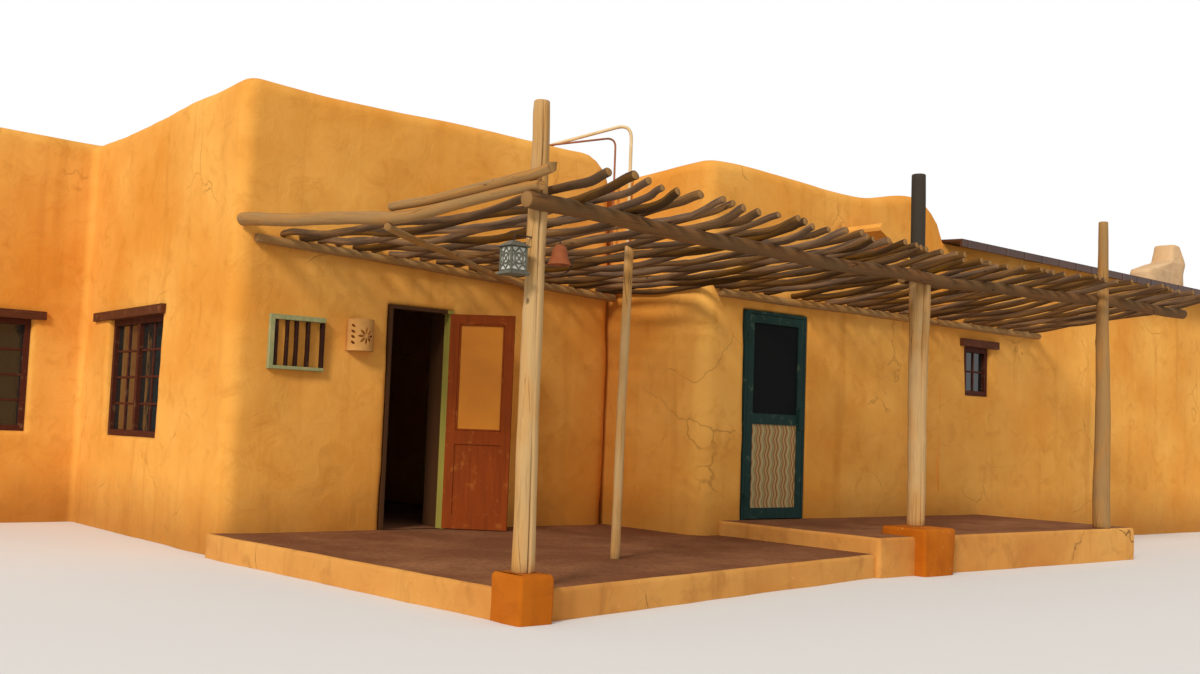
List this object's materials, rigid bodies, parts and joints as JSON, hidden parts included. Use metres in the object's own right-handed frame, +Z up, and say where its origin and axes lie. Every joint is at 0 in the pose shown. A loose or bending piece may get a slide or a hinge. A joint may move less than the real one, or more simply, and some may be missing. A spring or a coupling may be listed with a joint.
{
  "type": "adobe house",
  "caption": "Adobe house of stepped flat-roofed blocks with rounded parapets, a wing and a low side range, and a portal of latillas on log posts",
  "frame": {"origin": "on the ground, under the middle of the whole plan, with the portal", "axes": "+X along the house fronts to the viewer's right, +Y away from the viewer, +Z up"},
  "size_m": [18.15, 11.9188, 4.4272],
  "materials": {
    "adobe": "hand-floated mud plaster on adobe bricks, matt",
    "chimney_plaster": "mud plaster, matt",
    "footing_plaster": "orange cement plaster, matt",
    "earth_floor": "red-brown earth floor, matt",
    "roof_earth": "earth on boards, matt",
    "roof_metal": "dark red-brown painted sheet",
    "weathered_log": "peeled log, weathered grey-brown",
    "pale_log": "peeled log, bleached pale",
    "latilla_wood": "thin peeled poles, weathered",
    "window_paint": "red-brown paint, worn",
    "lintel_wood": "rough red-brown plank",
    "window_glass": "old window glass",
    "jamb_paint": "pale yellow-green paint",
    "screen_paint": "dark green paint",
    "red_door_wood": "red-brown varnish",
    "insect_mesh": "fine woven wire",
    "striped_panel": "board with painted wavy stripes",
    "clay": "unglazed fired clay",
    "green_sash": "faded green paint",
    "pipe_metal": "cream paint over steel",
    "lantern_metal": "grey-green weathered tin"
  },
  "bodies": {
    "house": {"brace_pole": "weathered_log", "chimney": "chimney_plaster", "clay_bell": "clay", "edge_logs": "weathered_log", "entry_door_frame": "screen_paint", "entry_floor": "earth_floor", "entry_front_left_wall": "adobe", "entry_front_right_wall": "adobe", "entry_left_wall": "adobe", "entry_over_door_wall": "adobe", "entry_rear_wall": "adobe", "entry_right_parapet": "adobe", "entry_roof": "roof_earth", "front_beams": "weathered_log", "front_windows": "window_paint", "inner_post": "weathered_log", "lantern": "lantern_metal", "latillas_left": "latilla_wood", "latillas_middle": "latilla_wood", "latillas_right": "latilla_wood", "left_post": "pale_log", "lower_patio": "earth_floor", "main_door_frame": "jamb_paint", "main_floor": "earth_floor", "main_front_left_wall": "adobe", "main_front_right_wall": "adobe", "main_left_wall": "adobe", "main_over_door_wall": "adobe", "main_rear_wall": "adobe", "main_right_wall": "adobe", "main_roof": "roof_earth", "middle_post": "weathered_log", "post_footings": "footing_plaster", "rear_windows": "window_paint", "right_post": "weathered_log", "roof_pipe": "pipe_metal", "side_end_wall": "adobe", "side_front_wall": "adobe", "side_rear_wall": "adobe", "side_roof": "roof_metal", "upper_terrace": "footing_plaster", "wall_hood": "adobe", "wall_ledgers": "weathered_log", "wall_rack": "green_sash", "wall_sconce": "clay", "window_glass": "window_glass", "window_lintels": "lintel_wood", "wing_end_wall": "adobe", "wing_floor": "earth_floor", "wing_front_wall": "adobe", "wing_roof": "roof_earth"},
    "main_leaf": {"main_door": "red_door_wood", "main_door_glass": "window_glass"},
    "screen_leaf": {"screen_door": "screen_paint", "screen_door_mesh": "insect_mesh", "screen_door_panel": "striped_panel"}
  },
  "joints": [
    {"name": "main_door_hinge", "type": "hinge", "parent": "house", "child": "main_leaf", "pos_m": [-4.31, -1.472, 1.231], "axis": [0, 0, 1], "range_deg": [-136, 24]},
    {"name": "screen_door_hinge", "type": "hinge", "parent": "house", "child": "screen_leaf", "pos_m": [-1.62, -2.862, 1.394], "axis": [0, 0, -1], "range_deg": [0, 100]}
  ]
}
